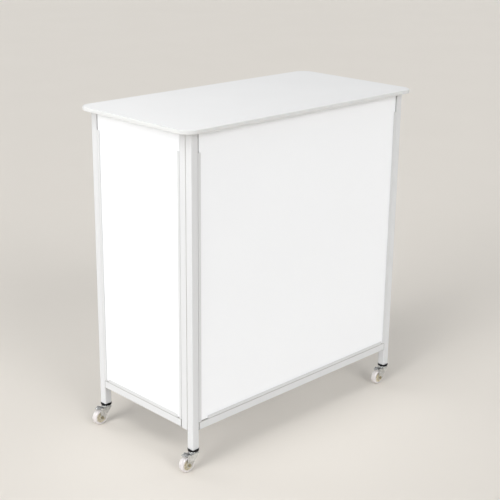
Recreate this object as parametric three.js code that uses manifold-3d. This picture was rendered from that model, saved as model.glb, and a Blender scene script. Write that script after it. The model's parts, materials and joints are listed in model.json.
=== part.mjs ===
import * as THREE from 'three';
import { mergeVertices } from 'three/addons/utils/BufferGeometryUtils.js';
import Module from 'manifold-3d';

// Folding portable bar: a counter board laid on a frame of white square tube, rolling on four braked casters.
// The front frame stands between the side frames, which swing in on hinges to lie flat behind it.
// Millimetres, +Z up. The origin is on the floor under the middle of the board, and guests stand at -Y.

// Frame of square tube
const frameWidth = 928;
const frameDepth = 452;
const tubeSize = 25;
const tubeWall = 1.5;
const tubeCorner = 2.5;
const legStub = 60;
const topRailHeight = 25;
const foldGap = 1;

// Counter board
const boardTopHeight = 1050;
const boardThickness = 12;
const sideOverhang = 36;
const frontOverhang = 24;
const rearOverhang = 24;
const boardCornerRadius = 46;
const boardEdgeRound = 2;

// Panels and the channels that hold them
const panelThickness = 5;
const panelSlack = 0.5;
const panelRecess = 0.5;
const frontPanelPlay = 3;
const sidePanelPlay = 0.5;
const panelTopGap = 2;
const channelWall = 1.5;
const channelReach = 10;
const channelDrop = 60;
const frontSillLeft = 36;
const frontSillRight = 17;
const sideSillInset = 20;

// Leg caps and the pegs that locate the board
const capFlange = 3;
const capPlugDepth = 18;
const pegRadius = 5;
const pegDrop = 14;
const pegSocketDepth = 7;

// Hinges between the front legs and the stiles
const hingeLength = 72;
const hingeInset = 130;
const knuckleRadius = 4;
const hingePinRadius = 2;
const leafThickness = 2;
const leafMargin = 1;

// Casters
const wheelDiameter = 50;
const treadWidth = 18;
const treadDepth = 6.5;
const treadShoulder = 2;
const hubWidth = 20;
const hubRadius = 8;
const webThickness = 11;
const casterTrail = 27;
const axleRadius = 3;
const axleHeadRadius = 5.5;
const axleHeadHeight = 3;
const axleBossRadius = 8;
const forkSheet = 2;
const crownFront = 13;
const crownClearance = 2.2;
const raceRadius = 14.5;
const raceLipHeight = 2;
const raceHeight = 5.5;
const stemRadius = 5;
const stemLength = 30;
const socketFlangeRadius = 17.5;
const socketFlangeHeight = 8;
const socketPlugDepth = 36;

// Brake pedals
const pedalPivotAhead = 2;
const pedalPivotRadius = 2.5;
const pedalPivotClearance = 0.9;
const pedalPinRadius = 1.5;
const pedalThickness = 2;
const pedalLength = 17;
const pedalPadWidth = 18;
const pedalPadLength = 9;

// Clearances
const seatGap = 0.3;
const runningGap = 0.3;
const hubGap = 0.5;
const railSetback = 1;
const crownRelief = 2;

// Heights worked out from the sizes above, floor upwards
const wheelRadius = wheelDiameter / 2;
const crownBottom = wheelDiameter + crownClearance;
const crownTop = crownBottom + forkSheet;
const socketBottom = crownTop + raceHeight + runningGap;
const legBottom = socketBottom + socketFlangeHeight;
const railBottom = legBottom + legStub;
const railTop = railBottom + tubeSize;
const boardUnderside = boardTopHeight - boardThickness;
const legTop = boardUnderside - seatGap - capFlange - seatGap;
const topRailBottom = legTop - topRailHeight;
const channelTop = boardUnderside - channelDrop;

// Plan positions
const boardLength = frameWidth + 2 * sideOverhang;
const boardDepth = frameDepth + frontOverhang + rearOverhang;
const frameFront = frontOverhang - boardDepth / 2;
const frameBack = frameFront + frameDepth;
const legX = (frameWidth - tubeSize) / 2;
const frontLegY = frameFront + tubeSize / 2;
const stileY = frontLegY + tubeSize + foldGap;
const rearLegY = frameBack - tubeSize / 2;
const sideMiddleY = (stileY + rearLegY) / 2;
const frontOpening = frameWidth - 2 * tubeSize;
const sideOpening = rearLegY - stileY - tubeSize;

// Sections that follow from the sizes above
const tubeBore = tubeSize - 2 * tubeWall;
const tubeBoreCorner = Math.max(tubeCorner - tubeWall, tubeWall / 4);
const plugSize = tubeBore - 2 * seatGap;
const slotWidth = panelThickness + 2 * panelSlack;
const channelDepth = slotWidth + 2 * channelWall;
const channelMiddle = panelRecess + channelDepth / 2;
const topRailDepth = tubeSize - panelRecess - channelDepth - railSetback;
const leafReach = foldGap / 2 + topRailDepth + railSetback - leafMargin;
const hingeX = frameWidth / 2 - tubeSize - seatGap - knuckleRadius;
const hingeY = frameFront + tubeSize + foldGap / 2;

// Facets of the round forms, and how far joined solids run into each other
const arcSteps = 2;
const tubeArcSteps = 1;
const roundSides = 16;
const wheelSides = 28;
const overlap = 1;

const finishes = {
  coatedSteel: { color: 0xf0f0ee, roughness: 0.42, metalness: 0 },
  panelSheet: { color: 0xfafafa, roughness: 0.5, metalness: 0 },
  boardLaminate: { color: 0xf2f2f2, roughness: 0.35, metalness: 0 },
  whitePlastic: { color: 0xe9e9e6, roughness: 0.5, metalness: 0 },
  blackPlastic: { color: 0x161616, roughness: 0.5, metalness: 0 },
  zincSteel: { color: 0xc9ccd0, roughness: 0.28, metalness: 1 },
  clearTread: { color: 0xe6ddcc, roughness: 0.2, metalness: 0 },
  birchPeg: { color: 0xcfb48a, roughness: 0.6, metalness: 0 },
};

const wasm = await Module();
wasm.setup();

function named(name, geometry, finish) {
  const mesh = new THREE.Mesh(geometry, new THREE.MeshStandardMaterial(finishes[finish]));
  mesh.name = name;
  return mesh;
}

function toSolid(geometry) {
  const bare = geometry.clone();
  bare.deleteAttribute('normal');
  bare.deleteAttribute('uv');
  const merged = mergeVertices(bare);
  return new wasm.Manifold(new wasm.Mesh({
    numProp: 3,
    vertProperties: Float32Array.from(merged.attributes.position.array),
    triVerts: Uint32Array.from(merged.index.array),
  }));
}

function toGeometry(solid) {
  const mesh = solid.getMesh();
  const geometry = new THREE.BufferGeometry();
  geometry.setAttribute('position', new THREE.BufferAttribute(mesh.vertProperties, 3));
  geometry.setIndex(new THREE.BufferAttribute(mesh.triVerts, 1));
  geometry.computeVertexNormals();
  return geometry;
}

// Joins the first list of geometries and cuts the second list out of the result.
function build(joined, cut = []) {
  let solid = toSolid(joined[0]);
  for (const geometry of joined.slice(1)) {
    solid = solid.add(toSolid(geometry));
  }
  for (const geometry of cut) {
    solid = solid.subtract(toSolid(geometry));
  }
  return toGeometry(solid);
}

function roundedRectangle(width, depth, radius) {
  const x = width / 2 - radius;
  const y = depth / 2 - radius;
  const shape = new THREE.Shape();
  shape.absarc(x, y, radius, 0, Math.PI / 2);
  shape.absarc(-x, y, radius, Math.PI / 2, Math.PI);
  shape.absarc(-x, -y, radius, Math.PI, 1.5 * Math.PI);
  shape.absarc(x, -y, radius, 1.5 * Math.PI, 2 * Math.PI);
  return shape;
}

// A prism of the shape that stands on z = bottom.
function upright(shape, bottom, top, steps = arcSteps) {
  const options = { depth: top - bottom, bevelEnabled: false, curveSegments: steps };
  return new THREE.ExtrudeGeometry(shape, options).translate(0, 0, bottom);
}

function box(lowX, highX, lowY, highY, lowZ, highZ) {
  const geometry = new THREE.BoxGeometry(highX - lowX, highY - lowY, highZ - lowZ);
  return geometry.translate((lowX + highX) / 2, (lowY + highY) / 2, (lowZ + highZ) / 2);
}

function standingCylinder(radius, bottom, top) {
  const geometry = new THREE.CylinderGeometry(radius, radius, top - bottom, roundSides);
  return geometry.rotateX(Math.PI / 2).translate(0, 0, (bottom + top) / 2);
}

// A cylinder along Y, centred on y = 0.
function crossCylinder(radius, width, x, z) {
  return new THREE.CylinderGeometry(radius, radius, width, roundSides).translate(x, 0, z);
}

function tubeSection(width, depth) {
  const section = roundedRectangle(width, depth, tubeCorner);
  section.holes.push(roundedRectangle(width - 2 * tubeWall, depth - 2 * tubeWall, tubeBoreCorner));
  return section;
}

function post(name, x, y, bottom) {
  const tube = upright(tubeSection(tubeSize, tubeSize), bottom, legTop, tubeArcSteps);
  const mesh = named(name, tube, 'coatedSteel');
  mesh.position.set(x, y, 0);
  return mesh;
}

// A length of tube along X, centred on x = 0, lying between two inward distances and two heights.
function rail(name, length, outer, inner, bottom, top) {
  const section = tubeSection(top - bottom, inner - outer);
  const mesh = named(name, upright(section, -length / 2, length / 2, tubeArcSteps), 'coatedSteel');
  mesh.rotation.y = Math.PI / 2;
  mesh.position.set(0, (outer + inner) / 2, (bottom + top) / 2);
  return mesh;
}

// A U-shaped strip whose web lies on x = 0 and whose lips reach to +X, as a length along +Z.
function channelStrip(length) {
  const half = channelDepth / 2;
  const lip = slotWidth / 2;
  const section = new THREE.Shape();
  section.moveTo(0, -half);
  section.lineTo(channelReach, -half);
  section.lineTo(channelReach, -lip);
  section.lineTo(channelWall, -lip);
  section.lineTo(channelWall, lip);
  section.lineTo(channelReach, lip);
  section.lineTo(channelReach, half);
  section.lineTo(0, half);
  return upright(section, 0, length);
}

// One wall: its rails, its panel and the panel's three channels, along X between two posts.
// y = 0 is the outer face of the tubes and +Y is inwards; ends names the posts at -X and +X.
// panelPlay is the room between each upright edge of the panel and the web of its channel.
function wall(name, opening, ends, sillLeft, sillRight, panelPlay) {
  const group = new THREE.Group();
  const railLength = opening - 2 * seatGap;
  group.add(rail(`${name}_bottom_rail`, railLength, 0, tubeSize, railBottom, railTop));
  group.add(rail(`${name}_top_rail`, railLength, tubeSize - topRailDepth, tubeSize, topRailBottom, legTop));

  const channelBottom = railTop + seatGap;
  ends.forEach((end, index) => {
    const side = index === 0 ? -1 : 1;
    const strip = named(`${name}_${end}_channel`, channelStrip(channelTop - channelBottom), 'whitePlastic');
    strip.position.set(side * (opening / 2 - seatGap), channelMiddle, channelBottom);
    strip.rotation.z = index === 0 ? 0 : Math.PI;
    group.add(strip);
  });

  const sill = named(`${name}_bottom_channel`, channelStrip(opening - sillLeft - sillRight), 'whitePlastic');
  sill.rotation.y = -Math.PI / 2;
  sill.position.set(opening / 2 - sillRight, channelMiddle, channelBottom);
  group.add(sill);

  const panelWidth = opening - 2 * (seatGap + channelWall + panelPlay);
  const panelBottom = channelBottom + channelWall + seatGap;
  const panelHeight = boardUnderside - panelTopGap - panelBottom;
  const panel = named(
    `${name}_panel`,
    new THREE.BoxGeometry(panelWidth, panelThickness, panelHeight),
    'panelSheet',
  );
  panel.position.set(0, channelMiddle, panelBottom + panelHeight / 2);
  group.add(panel);
  return group;
}

// The outline of a plastic plug that fills the bore of a leg.
function plugOutline() {
  return roundedRectangle(plugSize, plugSize, tubeBoreCorner + seatGap);
}

// A plastic cap in the top of a leg; a cap with a peg hole locates the board.
function legCap(name, x, y, hasPegHole) {
  const flangeBottom = legTop + seatGap;
  const plugBottom = legTop - capPlugDepth;
  const flangeOutline = roundedRectangle(tubeSize, tubeSize, tubeCorner);
  const flange = upright(flangeOutline, flangeBottom, flangeBottom + capFlange);
  const plug = upright(plugOutline(), plugBottom, flangeBottom + overlap);
  const hole = standingCylinder(pegRadius + runningGap, plugBottom - overlap, boardUnderside);
  const mesh = named(name, build([flange, plug], hasPegHole ? [hole] : []), 'whitePlastic');
  mesh.position.set(x, y, 0);
  return mesh;
}

function counterBoard() {
  const group = new THREE.Group();
  const outline = roundedRectangle(boardLength, boardDepth, boardCornerRadius);
  const slab = new THREE.ExtrudeGeometry(outline, {
    depth: boardThickness - 2 * boardEdgeRound,
    curveSegments: 2 * arcSteps,
    bevelThickness: boardEdgeRound,
    bevelSize: boardEdgeRound,
    bevelOffset: -boardEdgeRound,
    bevelSegments: arcSteps,
  }).translate(0, 0, boardUnderside + boardEdgeRound);
  const pegTop = boardUnderside + pegSocketDepth;
  const holeTop = pegTop + seatGap;
  const holes = [];
  for (const [end, side] of [['left', -1], ['right', 1]]) {
    const hole = standingCylinder(pegRadius + seatGap, boardUnderside - pegDrop, holeTop);
    holes.push(hole.translate(side * legX, frontLegY, 0));
    const peg = named(`${end}_peg`, standingCylinder(pegRadius, boardUnderside - pegDrop, pegTop), 'birchPeg');
    peg.position.set(side * legX, frontLegY, 0);
    group.add(peg);
  }
  group.add(named('counter_board', build([slab], holes), 'boardLaminate'));
  return group;
}

// One hinge about Z: the fixed leaf reaches to -Y and carries the pin, the moving leaf reaches to +Y.
function hinge(name) {
  const group = new THREE.Group();
  const half = hingeLength / 2;
  const knuckleEnd = hingeLength / 6;
  const rootGap = knuckleRadius + runningGap;
  const plateInner = leafThickness - knuckleRadius;
  const tabDepth = rootGap + leafThickness / 2;

  function leafPlate(direction) {
    const near = direction * rootGap;
    const far = direction * leafReach;
    return box(-knuckleRadius, plateInner, Math.min(near, far), Math.max(near, far), -half, half);
  }

  function knuckle(direction, bottom, top) {
    const tab = direction * tabDepth;
    const plate = box(-knuckleRadius, plateInner, Math.min(0, tab), Math.max(0, tab), bottom, top);
    return [standingCylinder(knuckleRadius, bottom, top), plate];
  }

  const lowerKnuckle = knuckle(-1, -half, -knuckleEnd - runningGap);
  const upperKnuckle = knuckle(-1, knuckleEnd + runningGap, half);
  const pin = standingCylinder(hingePinRadius, -half, half);
  const fixedLeaf = build([leafPlate(-1), ...lowerKnuckle, ...upperKnuckle, pin]);
  const pinBore = standingCylinder(hingePinRadius + runningGap, -half, half);
  const movingLeaf = build([leafPlate(1), ...knuckle(1, -knuckleEnd, knuckleEnd)], [pinBore]);
  group.add(named(`${name}_hinge_leg_leaf`, fixedLeaf, 'zincSteel'));
  group.add(named(`${name}_hinge_stile_leaf`, movingLeaf, 'zincSteel'));
  return group;
}

// The square plug of a caster socket fills the leg's end, and its round flange shows below the leg.
function casterSocket() {
  const flange = standingCylinder(socketFlangeRadius, socketBottom, legBottom - seatGap);
  const plugTop = legBottom + socketPlugDepth;
  const plug = upright(plugOutline(), legBottom - overlap, plugTop);
  const bore = standingCylinder(stemRadius + runningGap, socketBottom - overlap, plugTop + overlap);
  return build([flange, plug], [bore]);
}

// The angle on a circle where a straight line from an outside point touches it.
function tangentAngle(pointX, pointZ, centreX, centreZ, radius, turn) {
  const reachX = pointX - centreX;
  const reachZ = pointZ - centreZ;
  const swing = Math.acos(radius / Math.hypot(reachX, reachZ));
  return Math.atan2(reachZ, reachX) + turn * swing;
}

const pedalPivotX = pedalPivotAhead - casterTrail;
const pedalPivotDistance = wheelRadius + pedalPivotRadius + pedalPivotClearance;
const pedalPivotZ = wheelRadius + Math.sqrt(pedalPivotDistance ** 2 - pedalPivotAhead ** 2);
const forkInner = hubWidth + 2 * hubGap;
const forkOuter = forkInner + 2 * forkSheet;
const pedalNeckWidth = forkInner - 2 * runningGap;

// A fork side: from the crown back to the pedal's pivot, and down to a round boss at the axle.
function forkSide() {
  const earRadius = pedalPivotRadius + forkSheet;
  const earStart = Math.PI / 6;
  const backX = pedalPivotX - earRadius;
  const shape = new THREE.Shape();
  const axleBack = tangentAngle(backX, pedalPivotZ, -casterTrail, wheelRadius, axleBossRadius, 1);
  const axleFront = tangentAngle(crownFront, crownTop, -casterTrail, wheelRadius, axleBossRadius, -1);
  shape.moveTo(crownFront, crownTop);
  shape.lineTo(pedalPivotX + earRadius, crownTop);
  shape.absarc(pedalPivotX, pedalPivotZ, earRadius, earStart, Math.PI);
  shape.absarc(-casterTrail, wheelRadius, axleBossRadius, axleBack, axleFront + 2 * Math.PI);
  const plate = new THREE.ExtrudeGeometry(shape, {
    depth: forkSheet,
    bevelEnabled: false,
    curveSegments: 2 * arcSteps,
  });
  return plate.rotateX(Math.PI / 2);
}

function casterFork() {
  const nearSide = forkSide().translate(0, -forkInner / 2, 0);
  const farSide = forkSide().translate(0, forkOuter / 2, 0);
  const crownBack = pedalPivotX + pedalPivotRadius + crownRelief;
  const crown = box(crownBack, crownFront, -forkOuter / 2, forkOuter / 2, crownBottom, crownTop);
  const raceTop = crownTop + raceHeight;
  const raceProfile = [
    new THREE.Vector2(0, crownBottom),
    new THREE.Vector2(Math.min(raceRadius, crownFront), crownBottom),
    new THREE.Vector2(raceRadius, crownTop + raceLipHeight),
    new THREE.Vector2((raceRadius + stemRadius) / 2, raceTop),
    new THREE.Vector2(0, raceTop),
  ];
  const race = new THREE.LatheGeometry(raceProfile, roundSides).rotateX(Math.PI / 2);
  const stem = standingCylinder(stemRadius, crownTop, legBottom + stemLength);
  const axleHole = crossCylinder(axleRadius + runningGap, forkOuter + overlap, -casterTrail, wheelRadius);
  const pinHole = crossCylinder(pedalPinRadius + runningGap, forkOuter + overlap, pedalPivotX, pedalPivotZ);
  return build([nearSide, farSide, crown, race, stem], [axleHole, pinHole]);
}

function casterAxle() {
  const headInner = forkOuter / 2 + runningGap;
  const headOuter = headInner + axleHeadHeight;
  const profile = [
    new THREE.Vector2(0, -headOuter),
    new THREE.Vector2(axleHeadRadius, -headOuter),
    new THREE.Vector2(axleHeadRadius, -headInner),
    new THREE.Vector2(axleRadius, -headInner),
    new THREE.Vector2(axleRadius, headInner),
    new THREE.Vector2(axleHeadRadius, headInner),
    new THREE.Vector2(axleHeadRadius, headOuter),
    new THREE.Vector2(0, headOuter),
  ];
  return new THREE.LatheGeometry(profile, roundSides / 2).translate(-casterTrail, 0, wheelRadius);
}

// The wheel stands on a flat of its outline, so the outline lies just outside the wheel's circle.
function casterWheel() {
  const halfStep = Math.PI / wheelSides;
  const outer = wheelRadius / Math.cos(halfStep);
  const rim = wheelRadius - treadDepth;
  const bore = axleRadius + runningGap;
  const tread = treadWidth / 2;
  const hub = hubWidth / 2;
  const web = webThickness / 2;
  const profile = [
    new THREE.Vector2(bore, -hub),
    new THREE.Vector2(hubRadius, -hub),
    new THREE.Vector2(hubRadius, -web),
    new THREE.Vector2(rim, -web),
    new THREE.Vector2(rim, -tread),
    new THREE.Vector2(outer - treadShoulder, -tread),
    new THREE.Vector2(outer, treadShoulder - tread),
    new THREE.Vector2(outer, tread - treadShoulder),
    new THREE.Vector2(outer - treadShoulder, tread),
    new THREE.Vector2(rim, tread),
    new THREE.Vector2(rim, web),
    new THREE.Vector2(hubRadius, web),
    new THREE.Vector2(hubRadius, hub),
    new THREE.Vector2(bore, hub),
    new THREE.Vector2(bore, -hub),
  ];
  const wheel = new THREE.LatheGeometry(profile, wheelSides).rotateY(halfStep);
  return wheel.translate(-casterTrail, 0, wheelRadius);
}

// The pedal's barrel sits between the fork sides on a pin through both.
// A foot presses its short pad down onto the tread.
function brakePedal() {
  const barrel = crossCylinder(pedalPivotRadius, pedalNeckWidth, pedalPivotX, pedalPivotZ);
  const pin = crossCylinder(pedalPinRadius, forkOuter, pedalPivotX, pedalPivotZ);
  const tip = pedalPivotX - pedalLength;
  const padFront = tip + pedalPadLength;
  const top = pedalPivotZ + pedalPivotRadius;
  const bottom = top - pedalThickness;
  const neck = box(padFront - overlap, pedalPivotX, -pedalNeckWidth / 2, pedalNeckWidth / 2, bottom, top);
  const pad = box(tip, padFront, -pedalPadWidth / 2, pedalPadWidth / 2, bottom, top);
  return build([barrel, pin, neck, pad]);
}

function caster(name, x, y) {
  const group = new THREE.Group();
  group.add(named(`${name}_caster_socket`, casterSocket(), 'blackPlastic'));
  group.add(named(`${name}_caster_fork`, casterFork(), 'zincSteel'));
  group.add(named(`${name}_caster_axle`, casterAxle(), 'zincSteel'));
  group.add(named(`${name}_caster_wheel`, casterWheel(), 'clearTread'));
  group.add(named(`${name}_caster_pedal`, brakePedal(), 'zincSteel'));
  group.position.set(x, y, 0);
  return group;
}

const bar = new THREE.Group();
bar.name = 'folding_portable_bar';

const frontEnds = ['left', 'right'];
const frontWall = wall('front', frontOpening, frontEnds, frontSillLeft, frontSillRight, frontPanelPlay);
frontWall.position.set(0, frameFront, 0);
bar.add(frontWall);

const hingeHeights = { lower: railTop + hingeInset, upper: topRailBottom - hingeInset };

for (const [name, side] of [['left', -1], ['right', 1]]) {
  const ends = side < 0 ? ['rear', 'front'] : ['front', 'rear'];
  const sideWall = wall(name, sideOpening, ends, sideSillInset, sideSillInset, sidePanelPlay);
  sideWall.rotation.z = side * Math.PI / 2;
  sideWall.position.set(side * frameWidth / 2, sideMiddleY, 0);
  bar.add(sideWall);

  bar.add(post(`front_${name}_leg`, side * legX, frontLegY, legBottom));
  bar.add(post(`${name}_stile`, side * legX, stileY, railBottom));
  bar.add(post(`rear_${name}_leg`, side * legX, rearLegY, legBottom));
  bar.add(legCap(`front_${name}_cap`, side * legX, frontLegY, true));
  bar.add(legCap(`rear_${name}_cap`, side * legX, rearLegY, false));
  bar.add(caster(`front_${name}`, side * legX, frontLegY));
  bar.add(caster(`rear_${name}`, side * legX, rearLegY));

  for (const [level, height] of Object.entries(hingeHeights)) {
    const pair = hinge(`${name}_${level}`);
    pair.rotation.y = side < 0 ? 0 : Math.PI;
    pair.position.set(side * hingeX, hingeY, height);
    bar.add(pair);
  }
}

bar.add(counterBoard());

export default bar;
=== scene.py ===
import json
from math import cos, pi, radians, sin

import bmesh
import bpy
from mathutils import Matrix, Vector

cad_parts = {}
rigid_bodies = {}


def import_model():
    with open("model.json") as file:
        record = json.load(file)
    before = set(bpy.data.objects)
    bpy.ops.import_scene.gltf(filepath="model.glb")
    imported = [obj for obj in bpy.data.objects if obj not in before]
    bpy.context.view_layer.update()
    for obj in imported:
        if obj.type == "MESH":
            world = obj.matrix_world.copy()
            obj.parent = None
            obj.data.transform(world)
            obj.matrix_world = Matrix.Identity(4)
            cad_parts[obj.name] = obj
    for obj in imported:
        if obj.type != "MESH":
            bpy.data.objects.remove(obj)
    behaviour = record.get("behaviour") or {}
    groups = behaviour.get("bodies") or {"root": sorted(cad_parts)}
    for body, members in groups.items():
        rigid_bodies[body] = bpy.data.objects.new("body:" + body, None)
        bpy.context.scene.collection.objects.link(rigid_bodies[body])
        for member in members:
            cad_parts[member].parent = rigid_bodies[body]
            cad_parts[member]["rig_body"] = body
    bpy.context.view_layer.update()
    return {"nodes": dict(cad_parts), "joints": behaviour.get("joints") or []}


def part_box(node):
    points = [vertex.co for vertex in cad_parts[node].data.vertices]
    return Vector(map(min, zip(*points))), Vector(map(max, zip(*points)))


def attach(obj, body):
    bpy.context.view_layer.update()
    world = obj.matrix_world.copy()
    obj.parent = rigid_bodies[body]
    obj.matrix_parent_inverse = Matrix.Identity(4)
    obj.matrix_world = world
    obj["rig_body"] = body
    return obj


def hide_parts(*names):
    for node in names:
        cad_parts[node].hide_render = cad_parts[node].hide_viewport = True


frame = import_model()


# The frame: 25 mm steel tube with round corners, cut square and welded into a front and two side frames.
# Four legs and two stiles stand, and two rails cross each wall, the upper one of flatter tube.
# Its white powder coat has a fine orange peel and a few scuffs low on the legs, and painted shade darkens it
# along the seams.
mm = 0.001
ends = ("front", "rear")
sides = ("left", "right")
walls = ("front", *sides)
rail_levels = ("bottom", "top")
tube_wall = 1.5 * mm
tube_corner = 2.5 * mm
tube_corner_steps = 5
rail_joint = 0.9 * mm
seam_core = 0.6 * mm
seam_reach = 3 * mm
scuffs_full_below = 70 * mm
scuffs_end_above = 150 * mm
coat_white = (0.68, 0.688, 0.70, 1)
coat_scuffed = (0.55, 0.556, 0.565, 1)
# Painted shade along the seams: lighter at the leg and stile joint, darker where the rails meet the channels
# and the posts.
post_seam_shade = (0.60, 0.595, 0.585, 1)
rail_seam_shade = (0.42, 0.415, 0.40, 1)
smooth_limit = radians(35)
same_point = 0.001 * mm


class Shade:
    """A socket among a material's nodes; sums, differences and products of it add Math nodes."""

    def __init__(self, tree, socket=None):
        self.tree = tree
        self.socket = socket

    def add(self, kind, settings=None, sockets=None, output=0):
        """A new node: first its settings, then the values or links of its sockets."""
        node = self.tree.nodes.new(f"ShaderNode{kind}")
        for name, value in (settings or {}).items():
            setattr(node, name, value)
        for name, value in (sockets or {}).items():
            self.join(node.inputs[name], value)
        return Shade(self.tree, node.outputs[output])

    def join(self, target, value):
        """Links a socket to the target, or sets the target's own value."""
        if isinstance(value, Shade):
            self.tree.links.new(value.socket, target)
        else:
            target.default_value = value

    def math(self, operation, first, second):
        return self.add("Math", {"operation": operation}, {0: first, 1: second})

    def __add__(self, other):
        return self.math("ADD", self, other)

    def __radd__(self, other):
        return self.math("ADD", other, self)

    def __sub__(self, other):
        return self.math("SUBTRACT", self, other)

    def __rsub__(self, other):
        return self.math("SUBTRACT", other, self)

    def __mul__(self, other):
        return self.math("MULTIPLY", self, other)

    def __rmul__(self, other):
        return self.math("MULTIPLY", other, self)

    def along(self, axis):
        """One of the three parts of these coordinates."""
        return self.add("SeparateXYZ", {}, {"Vector": self}, axis)

    def size(self):
        """This value without its sign."""
        return self.add("Math", {"operation": "ABSOLUTE"}, {0: self})

    def rise(self, low, high):
        """0 below low and 1 above high, with a smooth step between."""
        step = {"interpolation_type": "SMOOTHSTEP"}
        return self.add("MapRange", step, {"Value": self, "From Min": low, "From Max": high})

    def tint(self, first, second):
        """The first colour where this mask is 0, and the second where it is 1."""
        # A Mix node has three pairs of sockets with the same names, so the colour sockets go by number.
        factor, first_colour, second_colour, mixed_colour = 0, 6, 7, 2
        values = {factor: self, first_colour: first, second_colour: second}
        return self.add("Mix", {"data_type": "RGBA"}, values, mixed_colour)

    def noise(self, scale, detail=2.0, stretch=(1, 1, 1)):
        """Noise on these coordinates, with its pattern drawn out where stretch is small."""
        drawn_out = self.add("Mapping", {}, {"Vector": self, "Scale": stretch})
        return self.add("TexNoise", {}, {"Vector": drawn_out, "Scale": scale, "Detail": detail})

    def bump(self, distance, strength=1.0):
        """A normal for a surface that this value raises."""
        return self.add("Bump", {}, {"Height": self, "Distance": distance, "Strength": strength})


def start_look(name):
    """A new material, and its Object coordinates."""
    material = bpy.data.materials.new(name)
    material.use_nodes = True
    place_on = Shade(material.node_tree).add("TexCoord", output="Object")
    return material, place_on


def set_look(material, values):
    """Gives the material's shader its values and links, by the names of its sockets."""
    shader = material.node_tree.nodes["Principled BSDF"]
    for name, value in values.items():
        Shade(material.node_tree).join(shader.inputs[name], value)
    return material


def powder_coat(name, seams, seam_shade_colour):
    """White coat with painted shade darkening the seams, each given by an axis and the place where it
    crosses that axis.
    """
    material, place_on = start_look(name)
    peel = place_on.noise(620, 1.5)
    cloud = place_on.noise(5, 3)
    low_down = 1 - place_on.along("Z").rise(scuffs_full_below, scuffs_end_above)
    scuffs = place_on.noise(60, 4, (1, 1, 0.25)).rise(0.62, 0.70) * low_down
    seam_distance = seam_reach
    for axis, seam in seams:
        from_seam = place_on.along(axis) - seam
        seam_distance = place_on.math("MINIMUM", seam_distance, from_seam.size())
    # Painted shade: the coat darkens within a few millimetres of each seam, where the groove between parts
    # lies in shade.
    dust_and_seam_shade = (1 - seam_distance.rise(seam_core, seam_reach)) * (0.7 + 0.6 * cloud)
    coating = (scuffs * 0.35 + cloud * 0.12).tint(coat_white, coat_scuffed)
    return set_look(material, {
        "Base Color": dust_and_seam_shade.tint(coating, seam_shade_colour),
        "Roughness": 0.34 + 0.10 * cloud + 0.2 * scuffs + 0.3 * dust_and_seam_shade,
        "Normal": (peel + 0.4 * scuffs).bump(0.05 * mm, 0.35),
        "Specular IOR Level": 0.45,
    })


def face_outwards(shape):
    """Points the faces of a closed shape outwards, also where a deep step would mislead the operator."""
    bmesh.ops.remove_doubles(shape, verts=shape.verts, dist=same_point)
    bmesh.ops.recalc_face_normals(shape, faces=shape.faces)
    if shape.calc_volume(signed=True) < 0:
        bmesh.ops.reverse_faces(shape, faces=shape.faces)


def add_piece(name, shape, material, body, slot, *nodes):
    """Turns a bmesh into a piece that rides on a body and stands for the CAD nodes it names."""
    face_outwards(shape)
    mesh = bpy.data.meshes.new(name)
    shape.to_mesh(mesh)
    shape.free()
    mesh.shade_smooth()
    mesh.set_sharp_from_angle(angle=smooth_limit)
    mesh.materials.append(material)
    piece = bpy.data.objects.new(name, mesh)
    bpy.context.scene.collection.objects.link(piece)
    flats = piece.modifiers.new("flats", "WEIGHTED_NORMAL")
    flats.keep_sharp = True
    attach(piece, body)
    if nodes:
        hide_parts(*nodes)
    return piece


def body_of(node):
    """The body that a CAD node rides on."""
    return frame["nodes"][node]["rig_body"]


def round_corners(shape, corners, radius, steps):
    """Rounds corner points of a flat outline."""
    return bmesh.ops.bevel(
        shape, geom=corners, offset=radius, affect="VERTICES", segments=steps, profile=0.5, material=-1
    )


def soften(shape, edges, radius, steps=2):
    """Rounds edges of a solid."""
    return bmesh.ops.bevel(
        shape, geom=edges, offset=radius, affect="EDGES", segments=steps, profile=0.5, material=-1,
        clamp_overlap=True,
    )


def rounded_face(shape, width, depth, radius, steps, level=0.0):
    """A flat face with round corners, centred on the Z axis."""
    corners = bmesh.ops.create_grid(shape, x_segments=1, y_segments=1, size=0.5)["verts"]
    bmesh.ops.scale(shape, vec=(width, depth, 1), verts=corners)
    bmesh.ops.translate(shape, vec=(0, 0, level), verts=corners)
    rounded = round_corners(shape, corners, radius, steps)
    return rounded["verts"][0].link_faces[0]


def leave_wall(shape, face, wall):
    """Cuts the middle out of a flat face, and leaves a wall along its rim."""
    bmesh.ops.inset_region(shape, faces=[face], thickness=wall, use_boundary=True, use_even_offset=True)
    bmesh.ops.delete(shape, geom=[face], context="FACES")


def pull(shape, faces, offset):
    """Pulls flat faces out into a solid; gives the faces of its far end."""
    made = bmesh.ops.extrude_face_region(shape, geom=faces)["geom"]
    far_points = [part for part in made if isinstance(part, bmesh.types.BMVert)]
    bmesh.ops.translate(shape, vec=offset, verts=far_points)
    return [part for part in made if isinstance(part, bmesh.types.BMFace)]


def place(shape, matrix):
    """Moves the whole shape by a matrix."""
    bmesh.ops.transform(shape, matrix=matrix, verts=shape.verts)


def square_tube(node, trim=0.0):
    """A tube along the longest side of a node's box, shortened at both ends by trim."""
    low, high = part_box(node)
    size = high - low
    run = max(range(3), key=lambda axis: size[axis])
    turns = (Matrix.Rotation(pi / 2, 4, "Y"), Matrix.Rotation(-pi / 2, 4, "X"), Matrix.Identity(4))
    turn = turns[run]
    width, depth, length = (abs(part) for part in turn.inverted() @ size)
    length -= 2 * trim
    shape = bmesh.new()
    section = rounded_face(shape, width, depth, tube_corner, tube_corner_steps, -length / 2)
    leave_wall(shape, section, tube_wall)
    pull(shape, shape.faces[:], (0, 0, length))
    place(shape, Matrix.Translation((low + high) / 2) @ turn)
    return shape


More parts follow.
